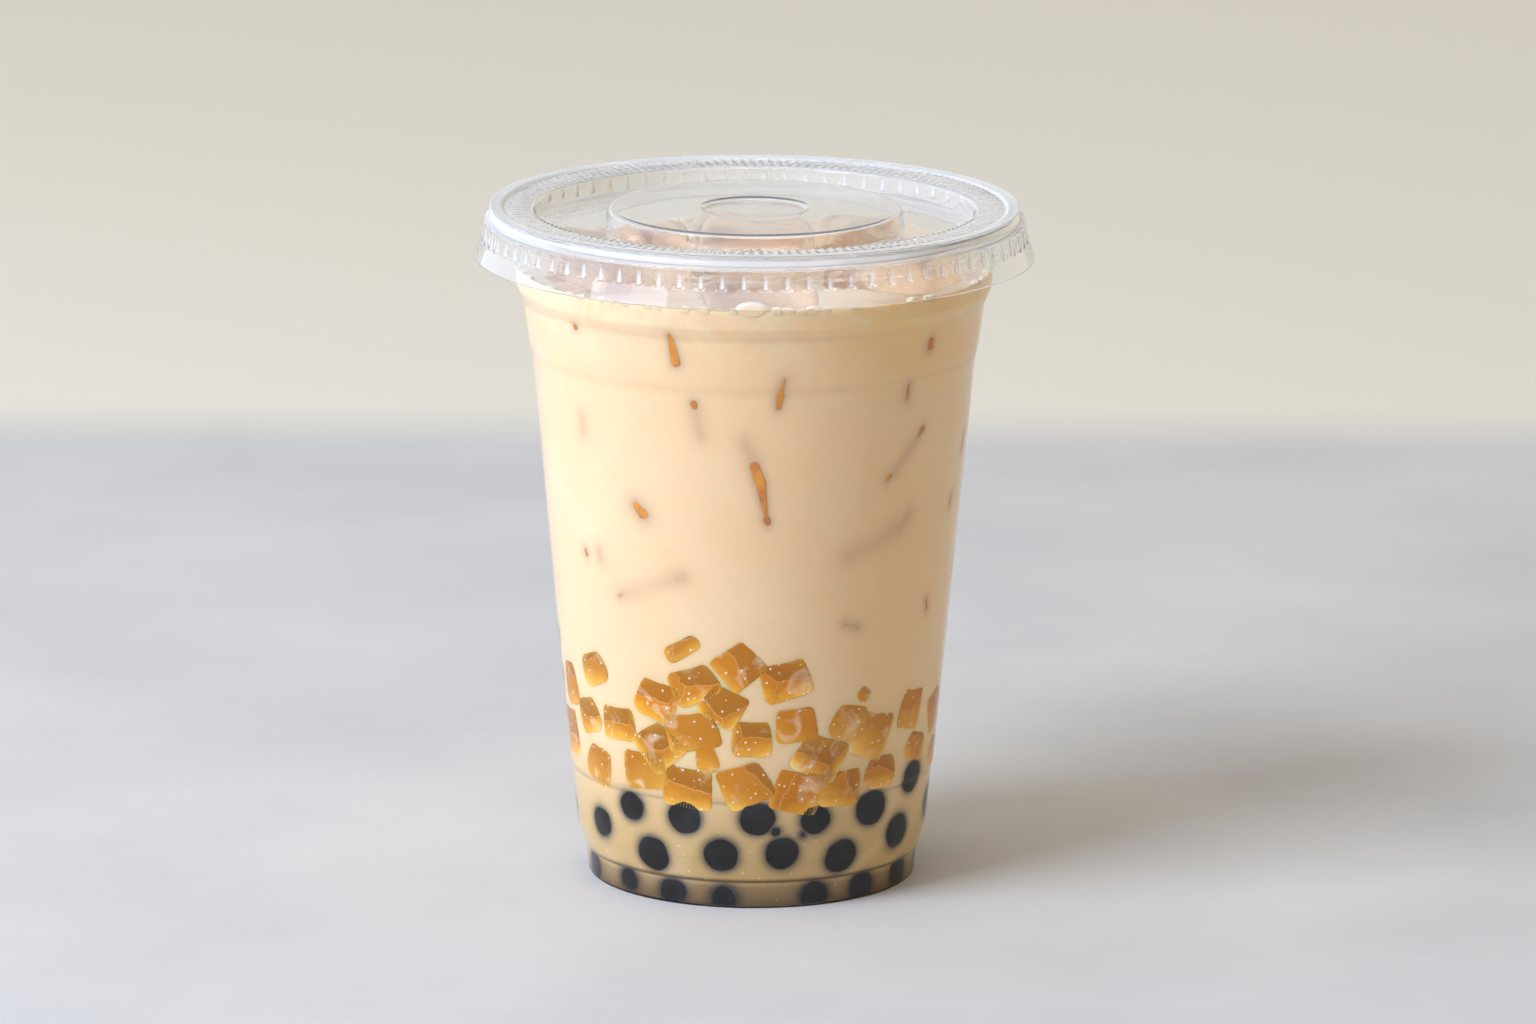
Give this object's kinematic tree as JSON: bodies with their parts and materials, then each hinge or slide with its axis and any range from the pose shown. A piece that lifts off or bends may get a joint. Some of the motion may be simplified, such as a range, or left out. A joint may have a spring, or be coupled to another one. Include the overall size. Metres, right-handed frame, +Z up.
{
  "type": "bubble tea in a lidded plastic cup",
  "caption": "Iced milk tea with tapioca pearls and amber jelly cubes in a clear tapered cup with a flat lid.",
  "frame": {"origin": "centre of the foot, on the plane that the cup stands on", "axes": "+Z up along the cup's axis; the ice cubes look alike from every side"},
  "size_m": [0.103, 0.103, 0.1258],
  "materials": {
    "cup_plastic": "clear, glossy",
    "lid_plastic": "clear, glossy",
    "milk_tea": "opaque liquid",
    "ice": "wet, clear to cloudy"
  },
  "bodies": {
    "root": {"cup": "cup_plastic", "lid": "lid_plastic", "drink": "milk_tea", "ice_1": "ice", "ice_2": "ice", "ice_3": "ice", "ice_4": "ice", "ice_5": "ice", "ice_6": "ice", "ice_7": "ice"}
  },
  "joints": []
}
